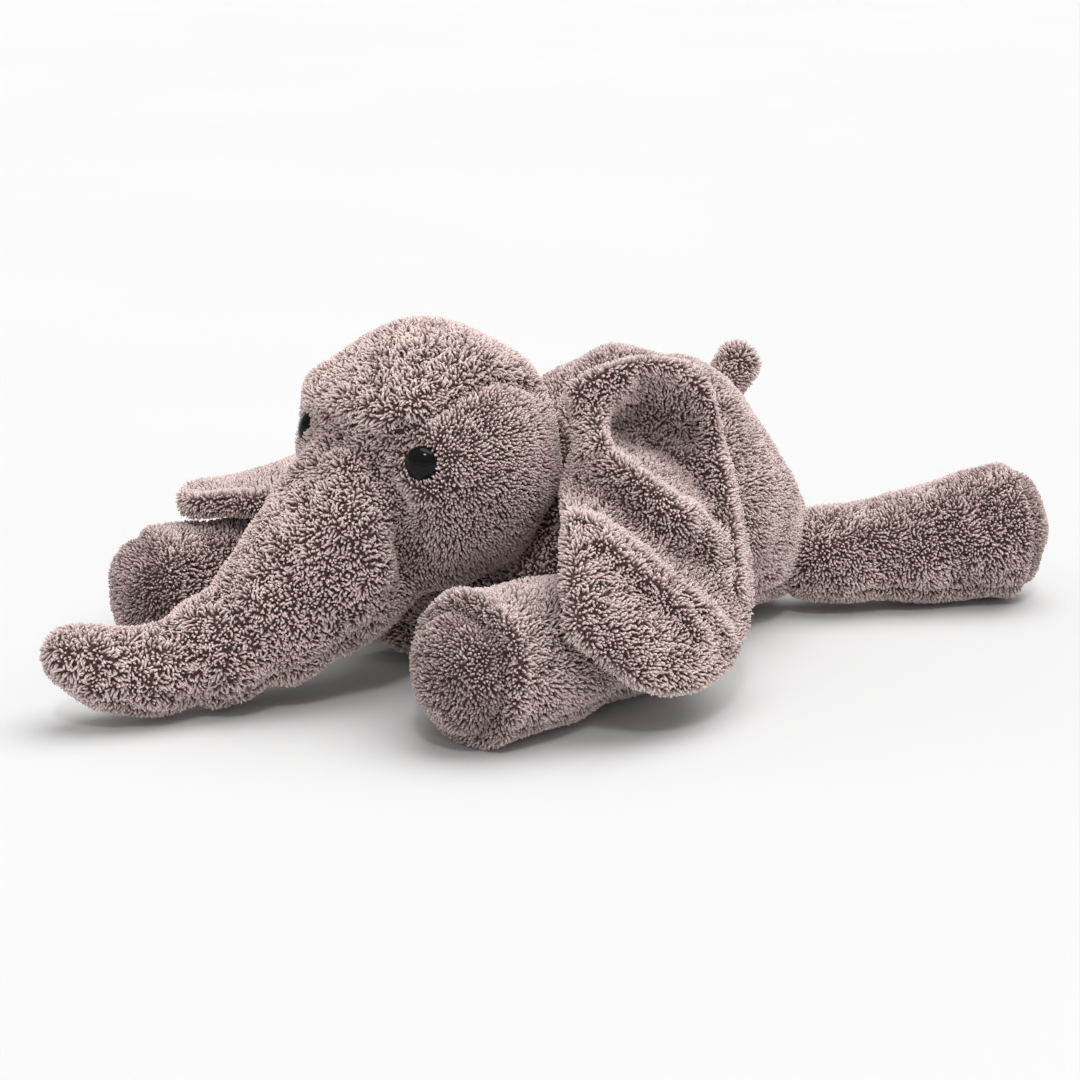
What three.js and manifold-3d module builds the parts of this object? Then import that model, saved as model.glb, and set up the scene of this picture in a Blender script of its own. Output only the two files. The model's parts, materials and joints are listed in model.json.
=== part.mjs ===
// Plush elephant lying on its belly with its legs spread, sewn from long-pile cloth and stuffed.
// Millimetres, +Z up. The face looks towards -Y and the elephant's left side is +X.
// The dimensions below are measured from the point on the floor under the middle of the head.
// The finished part's origin is the middle of the flat patch of the belly that the toy rests on.

import * as THREE from 'three';
import { mergeVertices } from 'three/addons/utils/BufferGeometryUtils.js';
import Module from 'manifold-3d';

const wasm = await Module();
wasm.setup();

// ---------------------------------------------------------------- driving dimensions

const COVER = 3.2; // plush cloth with its pile, pressed down
const GAP = 0.3; // air between two pieces that touch
const PLAY = 0.8; // air around a joint's ball in its socket

const HEAD = { centre: [0, -3, 80], radius: 48 };
const GUSSET_HALF = 30; // half the width of the strip over the forehead
const CHIN_TOP = 58; // the chin panel ends at this height
const NECK = { radius: 24, width: 8, thickness: 2 }; // collar in the neck seam

// Torso, from the chest under the chin to the rump: y, half width, half height, height of the middle
const TORSO = [
  [-6, 32, 9, 12],
  [3, 38, 14, 17],
  [15, 38, 22, 26],
  [26, 38, 33, 37],
  [40, 42, 41, 46],
  [58, 51, 49, 51],
  [84, 56, 56.5, 53],
  [110, 53, 52, 50.5],
  [134, 43, 40, 41],
  [150, 33, 30.5, 32.5],
  [160, 24, 22, 27],
];
const TORSO_ENDS = [-9, 166];
const BELLY_TOP = 15; // the belly panel's seams run at this height
const BELLY_REST = 92; // the middle of the flat patch under the belly lies this far back

const EYE = { azimuth: 51.5, elevation: 10, radius: 6.2, dome: 4.2, shank: 2.1, washer: 7.5 };

// Trunk centre line at its joints and ends: position and radius
const TRUNK = [
  { at: [0, -29, 60], radius: 33 },
  { at: [-2, -46, 46], radius: 31 },
  { at: [-6, -62, 33], radius: 27 },
  { at: [-9.5, -81, 22.8], radius: 22.4 },
  { at: [-14, -102, 17.8], radius: 17.6 },
  { at: [-18.5, -122, 18.8], radius: 15 },
  { at: [-24, -133, 25.4], radius: 13.4 },
];
const TRUNK_JOINTS = [2.1, 3.2, 4.2]; // places along the list above
const TRUNK_SWING = 12;
const TRUNK_LIFT = 28;
const TRUNK_CURL = 35;

// Legs: hip or shoulder, middle of the sole, radii at both, and how far each swings
const LEGS = {
  front_left: { hip: [59, 52, 22.8], sole: [73.5, -49, 25.6], radii: [22.4, 25.6], swing: [-5, 4] },
  front_right: { hip: [-59, 34, 22.5], sole: [-88.5, -76, 23.8], radii: [20, 23.8], swing: [-22, 5] },
  hind_left: { hip: [30, 161, 21.5], sole: [63, 238, 24.8], radii: [19.6, 24.6], swing: [-22, 6] },
  hind_right: { hip: [-35, 150, 21.5], sole: [-98, 206, 24.8], radii: [19.6, 24.6], swing: [-6, 22] },
};
const SOLE = { inset: 3.5, thickness: 4, dome: 2.6 };

const TAIL = { root: [0, 131, 84], tip: [0, 146, 95], radii: [8.5, 8] };

// Ears: edge on the head, crest of the drape and outer rim, each listed from top to bottom
const EAR_LAYER = 3.6;
const EARS = {
  left: {
    root: [[36, 28, 107], [39, 31, 86], [39, 29, 67]],
    crest: [[47, 52, 122], [61, 58, 90], [90, 34, 83], [92, 8, 81], [75, -6, 80]],
    rim: [[50, 79, 108], [62, 82, 72], [84, 73, 35], [103.5, 44, 14], [107, 8, 15], [99, -20, 43]],
  },
  right: {
    root: [[-36, 28, 107], [-39, 31, 86], [-39, 29, 67]],
    crest: [[-60, 42, 106], [-78, 28, 74], [-81, 6, 62], [-71, -12, 58.5], [-58, 0, 59]],
    rim: [[-88, 60, 76], [-108, 32, 58], [-112, 0, 51], [-106, -34, 52], [-84, -54, 53], [-60, -38, 58]],
  },
};

const LABEL = { at: [-38.4, 120, 15.2], size: [11, 16, 0.6], droop: 24 };

// ---------------------------------------------------------------- materials

const plush = new THREE.MeshStandardMaterial({ color: 0xa8948c, roughness: 0.95 });
const plushSole = new THREE.MeshStandardMaterial({ color: 0x9c887f, roughness: 0.95 });
const plushInner = new THREE.MeshStandardMaterial({ color: 0xa08b82, roughness: 0.95 });
const fill = new THREE.MeshStandardMaterial({ color: 0xf2efe8, roughness: 0.9 });
const gloss = new THREE.MeshStandardMaterial({ color: 0x0a0a0c, roughness: 0.08 });
const washerPlastic = new THREE.MeshStandardMaterial({ color: 0xe8e8e4, roughness: 0.5 });
const satin = new THREE.MeshStandardMaterial({ color: 0xf6f6f4, roughness: 0.55 });

// ---------------------------------------------------------------- helpers

const vec = (a) => new THREE.Vector3(...a);
const rad = THREE.MathUtils.degToRad;

function toSolid(geometry) {
  let g = geometry.clone();
  g.deleteAttribute('normal');
  g.deleteAttribute('uv');
  g = mergeVertices(g, 1e-4);
  const wrap = () => new wasm.Manifold(new wasm.Mesh({
    numProp: 3,
    vertProperties: new Float32Array(g.attributes.position.array),
    triVerts: new Uint32Array(g.index.array),
  }));
  const solid = wrap();
  if (solid.volume() > 0) {
    return solid;
  }
  // The faces point inwards, so each one is turned round.
  g.setIndex(Array.from(g.index.array).reverse());
  return wrap();
}

function toGeometry(solid) {
  const mesh = solid.getMesh();
  const g = new THREE.BufferGeometry();
  g.setAttribute('position', new THREE.BufferAttribute(new Float32Array(mesh.vertProperties), 3));
  g.setIndex(new THREE.BufferAttribute(new Uint32Array(mesh.triVerts), 1));
  g.computeVertexNormals();
  return g;
}

const union = (solids) => solids.reduce((a, b) => a.add(b));

function sphere(centre, radius, around = 26, rings = 16) {
  const g = new THREE.SphereGeometry(radius, around, rings);
  g.rotateX(Math.PI / 2);
  g.translate(...centre);
  return toSolid(g);
}

function box(from, to) {
  const size = vec(to).sub(vec(from));
  const g = new THREE.BoxGeometry(size.x, size.y, size.z);
  g.translate(...vec(from).addScaledVector(size, 0.5).toArray());
  return toSolid(g);
}

// A lathed shape whose axis runs from one point towards another. The profile is [radius, distance].
function turned(profile, from, towards, around = 16) {
  const g = new THREE.LatheGeometry(profile.map(([r, h]) => new THREE.Vector2(r, h)), around);
  const axis = vec(towards).sub(vec(from)).normalize();
  g.applyQuaternion(new THREE.Quaternion().setFromUnitVectors(new THREE.Vector3(0, 1, 0), axis));
  g.translate(...from);
  return toSolid(g);
}

// Rings of points, all the same length, closed with a point at either end.
function loft(rings, first, last) {
  const n = rings[0].length;
  const points = [...rings.flat(), first, last];
  const a = points.length - 2;
  const b = points.length - 1;
  const index = [];
  for (let i = 0; i < n; i += 1) {
    const j = (i + 1) % n;
    index.push(a, j, i);
    for (let k = 0; k + 1 < rings.length; k += 1) {
      const p = k * n;
      const q = p + n;
      index.push(p + i, p + j, q + j, p + i, q + j, q + i);
    }
    const end = (rings.length - 1) * n;
    index.push(b, end + i, end + j);
  }
  const g = new THREE.BufferGeometry();
  g.setAttribute('position', new THREE.Float32BufferAttribute(points.flatMap((p) => p.toArray()), 3));
  g.setIndex(index);
  return g;
}

const meshes = {};

function addPiece(name, solidOrGeometry, material) {
  const g = solidOrGeometry.isBufferGeometry ? solidOrGeometry : toGeometry(solidOrGeometry);
  const mesh = new THREE.Mesh(g, material.clone());
  mesh.name = name;
  meshes[name] = mesh;
}

// ---------------------------------------------------------------- torso

function torsoShape(inset) {
  const spine = (column) => new THREE.CatmullRomCurve3(
    TORSO.map((s) => new THREE.Vector3(s[0], s[column], 0)),
  );
  const halfWidth = spine(1);
  const halfHeight = spine(2);
  const middle = spine(3);
  const widest = Math.max(...TORSO.map((s) => s[1]));
  const rings = [];
  const count = 14;
  for (let k = 0; k < count; k += 1) {
    const t = k / (count - 1);
    const ring = [];
    for (let i = 0; i < 22; i += 1) {
      const angle = (i / 22) * 2 * Math.PI;
      const w = halfWidth.getPoint(t);
      const inwards = 1 - inset / widest;
      const y = 90 + (w.x - 90) * inwards;
      const x = Math.cos(angle) * (w.y - inset);
      const z = middle.getPoint(t).y + Math.sin(angle) * (halfHeight.getPoint(t).y - inset);
      ring.push(new THREE.Vector3(x, y, z));
    }
    rings.push(ring);
  }
  const first = new THREE.Vector3(0, TORSO_ENDS[0] + inset, TORSO[0][3]);
  const last = new THREE.Vector3(0, TORSO_ENDS[1] - inset, TORSO.at(-1)[3]);
  const floor = box([-90, -20, -40], [90, 220, inset]);
  return toSolid(loft(rings, first, last)).subtract(floor);
}

// ---------------------------------------------------------------- limbs

// Profile of a stuffed limb: a ball at the root that grows into the foot, then the cut for the sole.
function limbProfile(leg, length, inset, steps = 5) {
  const [r0, r1] = leg.radii;
  const profile = [];
  for (let i = 0; i < steps; i += 1) {
    const a = -Math.PI / 2 + (i / (steps - 1)) * (Math.PI / 2);
    profile.push([Math.max(0, Math.cos(a) * (r0 - inset)), Math.sin(a) * (r0 - inset)]);
  }
  profile[0][0] = 0;
  for (const t of [0.35, 0.62, 0.82]) {
    const blend = t * t * (3 - 2 * t);
    profile.push([r0 + (r1 - r0) * blend - inset, length * t]);
  }
  return profile;
}

function limb(name, leg) {
  const length = vec(leg.sole).distanceTo(vec(leg.hip));
  const r1 = leg.radii[1];
  const pad = r1 - SOLE.inset;
  const back = length - SOLE.thickness;

  const outer = limbProfile(leg, length, 0);
  outer.push([r1, length - 7]);
  outer.push([r1 - 0.8, length - 3]);
  outer.push([r1 - 2.2, length - 0.8]);
  const mouth = [[pad + GAP, length - 0.6], [pad + GAP, back - GAP]];
  const inner = limbProfile(leg, length, COVER);
  inner.push([r1 - COVER, length - 9]);
  const cover = turned([...outer, ...mouth, ...inner.reverse()], leg.hip, leg.sole);

  const core = limbProfile(leg, length, COVER + GAP);
  core.push([r1 - COVER - GAP, length - 9]);
  core.push([pad - 0.4, back - GAP - 0.4]);
  core.push([0, back - GAP - 0.4]);
  const stuffing = turned(core, leg.hip, leg.sole);

  const sole = turned([
    [0, back],
    [pad, back],
    [pad, length],
    [pad * 0.72, length + SOLE.dome * 0.7],
    [pad * 0.36, length + SOLE.dome],
    [0, length + SOLE.dome],
  ], leg.hip, leg.sole);

  addPiece(`${name}_cover`, cover, plush);
  addPiece(`${name}_stuffing`, stuffing, fill);
  addPiece(`${name}_sole`, sole, plushSole);
}

// The room that a limb needs in the torso, at both ends of its swing about a vertical axis.
function limbRoom(leg) {
  const length = vec(leg.sole).distanceTo(vec(leg.hip));
  const outer = limbProfile({ radii: leg.radii.map((r) => r + PLAY) }, length, 0, 5);
  outer.push([0, length * 0.82]);
  return leg.swing.map((angle) => {
    const reach = vec(leg.sole).sub(vec(leg.hip));
    reach.applyAxisAngle(new THREE.Vector3(0, 0, 1), rad(angle));
    return turned(outer, leg.hip, reach.add(vec(leg.hip)).toArray(), 14);
  });
}

// ---------------------------------------------------------------- torso pieces

function buildTorso() {
  const neck = sphere(HEAD.centre, HEAD.radius + NECK.thickness + 2 * PLAY, 24, 14);
  const tailRoom = sphere(TAIL.root, TAIL.radii[0] + PLAY, 16, 10);
  const room = union([neck, tailRoom, ...Object.values(LEGS).flatMap(limbRoom)]);

  const skin = torsoShape(0).subtract(torsoShape(COVER)).subtract(room);
  const under = box([-90, -20, -10], [90, 220, BELLY_TOP]);
  const left = box([GAP / 2, -20, BELLY_TOP + GAP], [90, 220, 140]);
  const right = box([-90, -20, BELLY_TOP + GAP], [-GAP / 2, 220, 140]);
  addPiece('torso_belly_panel', skin.intersect(under), plush);
  addPiece('torso_left_panel', skin.intersect(left), plush);
  addPiece('torso_right_panel', skin.intersect(right), plush);
  addPiece('torso_stuffing', torsoShape(COVER + GAP).subtract(room), fill);
}

// ---------------------------------------------------------------- head

function onHead(azimuth, elevation, radius) {
  const a = rad(azimuth);
  const e = rad(elevation);
  const direction = new THREE.Vector3(
    Math.sin(a) * Math.cos(e),
    -Math.cos(a) * Math.cos(e),
    Math.sin(e),
  );
  return direction.multiplyScalar(radius).add(vec(HEAD.centre)).toArray();
}

function buildEye(side, name) {
  const seat = onHead(side * EYE.azimuth, EYE.elevation, HEAD.radius - 1.6);
  const out = onHead(side * EYE.azimuth, EYE.elevation, HEAD.radius + 10);
  const dome = [];
  for (let i = 0; i <= 6; i += 1) {
    const a = (i / 6) * (Math.PI / 2);
    dome.push([Math.max(0, EYE.radius * Math.cos(a)), 0.8 + EYE.dome * Math.sin(a)]);
  }
  dome[6][0] = 0;
  const depth = COVER + 4;
  const eye = turned([
    [0, -depth],
    [EYE.shank, -depth],
    [EYE.shank, 0],
    [EYE.radius, 0],
    ...dome,
  ], seat, out, 16);
  const washerAt = -COVER + 0.5 - GAP;
  const washer = turned([
    [EYE.shank + GAP, washerAt],
    [EYE.shank + GAP, washerAt - 1.5],
    [EYE.washer, washerAt - 1.5],
    [EYE.washer, washerAt],
    [EYE.shank + GAP, washerAt],
  ], seat, out, 16);
  const eyeRoom = turned([
    [0, -depth - GAP],
    [EYE.shank + GAP, -depth - GAP],
    [EYE.shank + GAP, -GAP],
    [EYE.radius + GAP, -GAP],
    [EYE.radius + GAP, 12],
    [0, 12],
  ], seat, out, 16);
  const washerRoom = turned([
    [0, washerAt - 1.5 - GAP],
    [EYE.washer + GAP, washerAt - 1.5 - GAP],
    [EYE.washer + GAP, 0],
    [0, 0],
  ], seat, out, 16);
  addPiece(`eye_${name}`, eye, gloss);
  addPiece(`eye_${name}_washer`, washer, washerPlastic);
  return { eyeRoom, washerRoom };
}

function buildHead() {
  const { centre, radius } = HEAD;
  const eyes = [buildEye(1, 'left'), buildEye(-1, 'right')];
  const eyeRooms = union(eyes.map((e) => e.eyeRoom));
  const washerRooms = union(eyes.map((e) => e.washerRoom));

  const ball = sphere(centre, radius, 24, 14);
  const skin = ball.subtract(sphere(centre, radius - COVER, 24, 14)).subtract(eyeRooms);
  const half = GUSSET_HALF;
  const strip = box([-half, -60, CHIN_TOP + GAP], [half, 60, 140]);
  const chin = box([-half, -60, 20], [half, 60, CHIN_TOP]);
  const left = box([half + GAP, -60, 20], [60, 60, 140]);
  const right = box([-60, -60, 20], [-half - GAP, 60, 140]);
  addPiece('head_gusset', skin.intersect(strip), plush);
  addPiece('head_chin_panel', skin.intersect(chin), plush);
  addPiece('head_left_cheek', skin.intersect(left), plush);
  addPiece('head_right_cheek', skin.intersect(right), plush);

  const core = sphere(centre, radius - COVER - GAP, 24, 14);
  addPiece('head_stuffing', core.subtract(eyeRooms).subtract(washerRooms), fill);

  // The collar is a strip of cloth round the neck, between head and torso.
  const inside = radius + PLAY;
  const outside = inside + NECK.thickness;
  const start = Math.asin(NECK.radius / inside);
  const end = Math.asin((NECK.radius + NECK.width) / inside);
  const profile = [];
  for (const [r, from, to] of [[outside, start, end], [inside, end, start]]) {
    for (let i = 0; i <= 3; i += 1) {
      const a = from + ((to - from) * i) / 3;
      profile.push([r * Math.sin(a), r * Math.cos(a)]);
    }
  }
  profile.push(profile[0]);
  const towardsTorso = [0, centre[1] + 50, centre[2] - 26];
  addPiece('neck_collar', turned(profile.reverse(), centre, towardsTorso, 20), plush);
}

// ---------------------------------------------------------------- trunk

const trunkLine = new THREE.CatmullRomCurve3(TRUNK.map((p) => vec(p.at)));
const trunkGirth = new THREE.CatmullRomCurve3(
  TRUNK.map((p, i) => new THREE.Vector3(i, p.radius, 0)),
);
const trunkAt = (s) => trunkLine.getPoint(s / (TRUNK.length - 1));
const trunkRadius = (s) => trunkGirth.getPoint(s / (TRUNK.length - 1)).y;

// A ring round the centre line. It is moved along the line and shrunk where it closes a round end.
function trunkRing(s, inset, roundEnd = 0) {
  const around = 16;
  const along = trunkLine.getTangent(s / (TRUNK.length - 1));
  const side = new THREE.Vector3(1, 0, 0).addScaledVector(along, -along.x).normalize();
  const up = new THREE.Vector3().crossVectors(side, along);
  const girth = trunkRadius(s) - inset;
  const centre = trunkAt(s).addScaledVector(along, Math.sin(roundEnd) * girth);
  const ring = [];
  for (let i = 0; i < around; i += 1) {
    const a = (i / around) * 2 * Math.PI;
    ring.push(centre.clone()
      .addScaledVector(side, Math.cos(a) * Math.cos(roundEnd) * girth)
      .addScaledVector(up, Math.sin(a) * Math.cos(roundEnd) * girth));
  }
  return { ring, centre };
}

// A length of the trunk, inset all round, with a flat or a round end at either side.
function trunkTube(from, to, inset, roundStart, roundStop) {
  const steps = 4;
  const list = [];
  if (roundStart) {
    for (let i = 0; i < steps; i += 1) {
      list.push(trunkRing(from, inset, rad(-88 + (88 * i) / steps)));
    }
  }
  for (let k = 0; k <= steps; k += 1) {
    list.push(trunkRing(from + ((to - from) * k) / steps, inset));
  }
  if (roundStop) {
    for (let i = 1; i <= steps; i += 1) {
      list.push(trunkRing(to, inset, rad((88 * i) / steps)));
    }
  }
  return toSolid(loft(list.map((r) => r.ring), list[0].centre, list[list.length - 1].centre));
}

// How far behind a joint the piece before it stops, so that the bend has room.
function setBack(joint, bend) {
  const back = Math.sin(rad(bend)) * trunkRadius(joint) + 1.2;
  const step = trunkAt(joint).distanceTo(trunkAt(joint - 0.1)) / 0.1;
  return joint - back / step;
}

function trunkPiece(name, from, to, bend) {
  const last = bend === null;
  const end = last ? TRUNK.length - 1 : setBack(to, bend);
  const solid = (inset) => trunkTube(from, end, inset, from > 0, last);
  let cut = sphere(HEAD.centre, HEAD.radius + GAP, 24, 14);
  if (!last) {
    cut = cut.add(sphere(trunkAt(to).toArray(), trunkRadius(to) + PLAY, 18, 10));
  }
  // The cover is open where the next joint is, and the tip's at the back of its ball.
  const hollow = last
    ? solid(COVER).add(trunkOpening(from))
    : trunkTube(from, end + 0.2, COVER, from > 0, false);
  addPiece(`${name}_cover`, solid(0).subtract(hollow).subtract(cut), plush);
  addPiece(`${name}_stuffing`, solid(COVER + GAP).subtract(cut), fill);
}

// A round opening at the back of the tip's ball, through which the tip is stuffed.
function trunkOpening(joint) {
  const back = trunkAt(joint - 0.6).toArray();
  return turned([[0, 0], [5, 0], [5, 30], [0, 30]], trunkAt(joint).toArray(), back, 12);
}

function buildTrunk() {
  const [a, b, c] = TRUNK_JOINTS;
  trunkPiece('trunk_root', 0, a, TRUNK_SWING);
  trunkPiece('trunk_middle', a, b, TRUNK_LIFT);
  trunkPiece('trunk_fore', b, c, TRUNK_CURL);
  trunkPiece('trunk_tip', c, TRUNK.length - 1, null);
}

// ---------------------------------------------------------------- ears

function earLayer(shape, from, to) {
  const curve = (points) => new THREE.CatmullRomCurve3(points.map(vec));
  const root = curve(shape.root);
  const crest = curve(shape.crest);
  const rim = curve(shape.rim);
  const middle = (u, v) => {
    const p = root.getPoint(v).multiplyScalar((1 - u) * (1 - u));
    p.addScaledVector(crest.getPoint(v), 2 * u * (1 - u));
    return p.addScaledVector(rim.getPoint(v), u * u);
  };
  const across = 5;
  const down = 12;
  const e = 1e-3;
  const sheet = (offset) => {
    const points = [];
    for (let j = 0; j <= down; j += 1) {
      for (let i = 0; i <= across; i += 1) {
        const u = i / across;
        const v = j / down;
        const du = middle(Math.min(u + e, 1), v).sub(middle(Math.max(u - e, 0), v));
        const dv = middle(u, Math.min(v + e, 1)).sub(middle(u, Math.max(v - e, 0)));
        const normal = du.cross(dv).normalize();
        points.push(middle(u, v).addScaledVector(normal, offset));
      }
    }
    return points;
  };
  const points = [...sheet(from), ...sheet(to)];
  const row = across + 1;
  const back = row * (down + 1);
  const index = [];
  const quad = (a, b, c, d) => index.push(a, b, c, a, c, d);
  for (let j = 0; j < down; j += 1) {
    for (let i = 0; i < across; i += 1) {
      const p = j * row + i;
      quad(p, p + row, p + row + 1, p + 1);
      quad(back + p, back + p + 1, back + p + row + 1, back + p + row);
    }
    const p = j * row;
    quad(p, back + p, back + p + row, p + row);
    quad(p + across, p + across + row, back + p + across + row, back + p + across);
  }
  for (let i = 0; i < across; i += 1) {
    const p = down * row + i;
    quad(i, i + 1, back + i + 1, back + i);
    quad(p, back + p, back + p + 1, p + 1);
  }
  const g = new THREE.BufferGeometry();
  g.setAttribute('position', new THREE.Float32BufferAttribute(points.flatMap((p) => p.toArray()), 3));
  g.setIndex(index);
  return toSolid(g);
}

function buildEar(name, shape, side) {
  const near = GAP / 2;
  const far = GAP / 2 + EAR_LAYER;
  const layers = side > 0
    ? { inner: [-far, -near], outer: [near, far] }
    : { inner: [near, far], outer: [-far, -near] };
  for (const [layer, [from, to]] of Object.entries(layers)) {
    const head = sphere(HEAD.centre, HEAD.radius + 0.5, 24, 14);
    const solid = earLayer(shape, from, to).subtract(head);
    addPiece(`ear_${name}_${layer}`, solid, layer === 'inner' ? plushInner : plush);
  }
}

// ---------------------------------------------------------------- tail and label

function buildTail() {
  const [r0, r1] = TAIL.radii;
  const length = vec(TAIL.tip).distanceTo(vec(TAIL.root));
  const ball = (inset, open) => {
    const profile = [];
    for (let i = open; i <= 5; i += 1) {
      const a = -Math.PI / 2 + (i / 5) * (Math.PI / 2);
      profile.push([Math.cos(a) * (r0 - inset), Math.sin(a) * (r0 - inset)]);
    }
    for (let i = 0; i <= 5; i += 1) {
      const a = (i / 5) * (Math.PI / 2);
      profile.push([Math.cos(a) * (r1 - inset), length + Math.sin(a) * (r1 - inset)]);
    }
    profile[profile.length - 1][0] = 0;
    return profile;
  };
  const inner = ball(2.4, 2);
  const outer = ball(0, 2);
  const stuffing = ball(2.4 + GAP, 2);
  stuffing.unshift([0, stuffing[0][1]]);
  addPiece('tail_cover', turned([...outer, ...inner.reverse(), outer[0]], TAIL.root, TAIL.tip, 14), plush);
  addPiece('tail_stuffing', turned(stuffing, TAIL.root, TAIL.tip, 14), fill);
}

// A blank care label that hangs from the belly seam on the far side of the rump.
function buildLabel() {
  const g = new THREE.BoxGeometry(...LABEL.size);
  g.translate(-LABEL.size[0] / 2, 0, 0);
  g.rotateY(rad(-LABEL.droop));
  g.translate(...LABEL.at);
  addPiece('care_label', toSolid(g), satin);
}

// ---------------------------------------------------------------- assembly

buildTorso();
buildHead();
buildTrunk();
buildEar('left', EARS.left, 1);
buildEar('right', EARS.right, -1);
for (const [name, leg] of Object.entries(LEGS)) {
  limb(`${name}_leg`, leg);
}
buildTail();
buildLabel();

const group = new THREE.Group();
group.name = 'stuffed_elephant';
for (const mesh of Object.values(meshes)) {
  mesh.position.y = -BELLY_REST;
  group.add(mesh);
}

export default group;
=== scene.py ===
"""Plush elephant lying on its belly, drawn over its CAD frame.

Every stuffed part is a sculpted cloth skin made from the CAD solids that it stands for, and a coat of
curly pile grows on each skin as real strands. Lengths are in metres. The face looks towards -Y, the
elephant's left side is +X, and the floor is at z = 0.
"""

import json
import math

import bmesh
import bpy
import numpy as np
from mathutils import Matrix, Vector
from mathutils.kdtree import KDTree


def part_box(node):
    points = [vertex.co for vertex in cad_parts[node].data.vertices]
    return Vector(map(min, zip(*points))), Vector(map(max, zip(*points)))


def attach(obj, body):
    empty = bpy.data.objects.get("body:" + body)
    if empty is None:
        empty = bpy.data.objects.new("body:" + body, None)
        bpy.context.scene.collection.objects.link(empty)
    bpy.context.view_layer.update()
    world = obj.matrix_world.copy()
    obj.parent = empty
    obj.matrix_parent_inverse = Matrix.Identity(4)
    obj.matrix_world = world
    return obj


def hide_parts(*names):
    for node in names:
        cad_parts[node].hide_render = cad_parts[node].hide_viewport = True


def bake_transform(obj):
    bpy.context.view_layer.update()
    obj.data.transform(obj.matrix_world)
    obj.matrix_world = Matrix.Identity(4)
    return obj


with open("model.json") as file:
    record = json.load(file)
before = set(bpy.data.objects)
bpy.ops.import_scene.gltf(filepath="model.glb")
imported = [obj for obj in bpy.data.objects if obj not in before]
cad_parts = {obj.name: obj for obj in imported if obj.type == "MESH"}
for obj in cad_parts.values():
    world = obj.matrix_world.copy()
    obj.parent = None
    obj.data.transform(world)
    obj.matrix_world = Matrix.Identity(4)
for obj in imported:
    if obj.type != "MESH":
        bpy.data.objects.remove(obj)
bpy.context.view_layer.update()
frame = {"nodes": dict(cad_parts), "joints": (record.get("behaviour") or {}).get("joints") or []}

MM = 0.001
SEED = 20

# ---------------------------------------------------------------- driving sizes

PILE = 2.7 * MM  # length of a strand
DEPTH = 2.7 * MM  # how far the cloth lies below the tips of the pile
SPACING = 0.86 * MM  # least distance between two strands
STRAND = 0.46 * MM  # radius of a strand at its thickest
STRANDS_PER_PIECE = 12000
SIDES = 3  # sides of a strand
TRIES = 3.2  # places tried for each square of the spacing, so that few gaps are left
ROOTED = 0.5 * MM  # how far a strand's foot reaches into the cloth
LEAN = 0.34  # how far a strand leans over, as a share of its length
BURIED = 3 * MM  # strands that stand deeper than this in another skin aren't made
PRESSED, UNEVEN = 0.3 * MM, 0.4 * MM  # least height of the pile over the floor, and what varies above it

VOXEL = 2.0 * MM  # size of the faces of a skin
GAP_CLOSED = 0.7 * MM  # how far the CAD solids of one skin are grown so that they join
SEAM_DEPTH, SEAM_WIDTH, SEAM_PARTING = 1.8 * MM, 2.2 * MM, 0.5
BELLY_SEAM = 15 * MM  # height of the seams round the belly panel
SEAM_HEIGHT = 9 * MM  # height of the seam along the outside of each leg
SPREAD = 2.5 * MM  # how far the cloth bulges beside the floor
SPREAD_TOP = 12 * MM  # height that the bulge reaches up to
UNDERSIDE = 0.8 * MM  # least height of the cloth over the floor
HALF_BEND = 7 * MM  # half the length of trunk on either side of a joint

EYE_RADIUS = 6.2 * MM
EYE_DOME = 4.0 * MM  # height of the dome above its rim
EYE_FOOT = 1.6 * MM  # how far the eye reaches into the cloth below its rim
EYE_SUNK = {"left": 2.8 * MM, "right": 1.7 * MM}  # how far the rim lies below the CAD eye's middle


# ---------------------------------------------------------------- small helpers


def unit(v):
    v = np.asarray(v, float)
    return v / np.maximum(np.linalg.norm(v, axis=-1, keepdims=True), 1e-12)


def smoothstep(a, b, x):
    t = np.clip((x - a) / (b - a), 0, 1)
    return t * t * (3 - 2 * t)


def bump(x, width):
    """1 at x = 0, falling to nothing at a few widths."""
    return np.exp(-((x / width) ** 2))


def spline(points, t):
    """A smooth curve through the points, at the places t from 0 to 1."""
    p = np.array(points, float)
    last = len(p) - 1
    p = np.vstack([2 * p[0] - p[1], p, 2 * p[-1] - p[-2]])
    s = np.clip(np.asarray(t, float) * last, 0, last - 1e-9)
    i = s.astype(int)
    f = (s - i)[..., None]
    a, b, c, d = p[i], p[i + 1], p[i + 2], p[i + 3]
    return 0.5 * (
        2 * b
        + (c - a) * f
        + (2 * a - 5 * b + 4 * c - d) * f**2
        + (3 * b - a - 3 * c + d) * f**3
    )


class Waves:
    """Smooth random values in space: a sum of plane waves about `size` long."""

    def __init__(self, size, seed, count=14):
        rng = np.random.default_rng(seed)
        self.k = unit(rng.normal(size=(count, 3)))
        self.k *= 2 * math.pi / (size * rng.uniform(0.7, 1.6, (count, 1)))
        self.phase = rng.uniform(0, 2 * math.pi, count)
        self.scale = math.sqrt(2 / count)

    def __call__(self, p):
        return np.sin(p @ self.k.T + self.phase).sum(1) * self.scale


def waves3(size, seed):
    parts = [Waves(size, seed + i) for i in range(3)]
    return lambda p: np.stack([w(p) for w in parts], 1)


def distance_to_path(p, path):
    """Distance from each point to a line through the path's points, and the nearest place on it."""
    path = np.asarray(path, float)
    best = np.full(len(p), 1e9)
    near = np.zeros_like(p)
    for i in range(len(path) - 1):
        a, d = path[i], path[i + 1] - path[i]
        t = np.clip((p - a) @ d / max(d @ d, 1e-12), 0, 1)
        dist = np.linalg.norm(p - a - t[:, None] * d, axis=1)
        closer = dist < best
        best[closer] = dist[closer]
        near[closer] = (a + t[:, None] * d)[closer]
    return best, near


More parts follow.
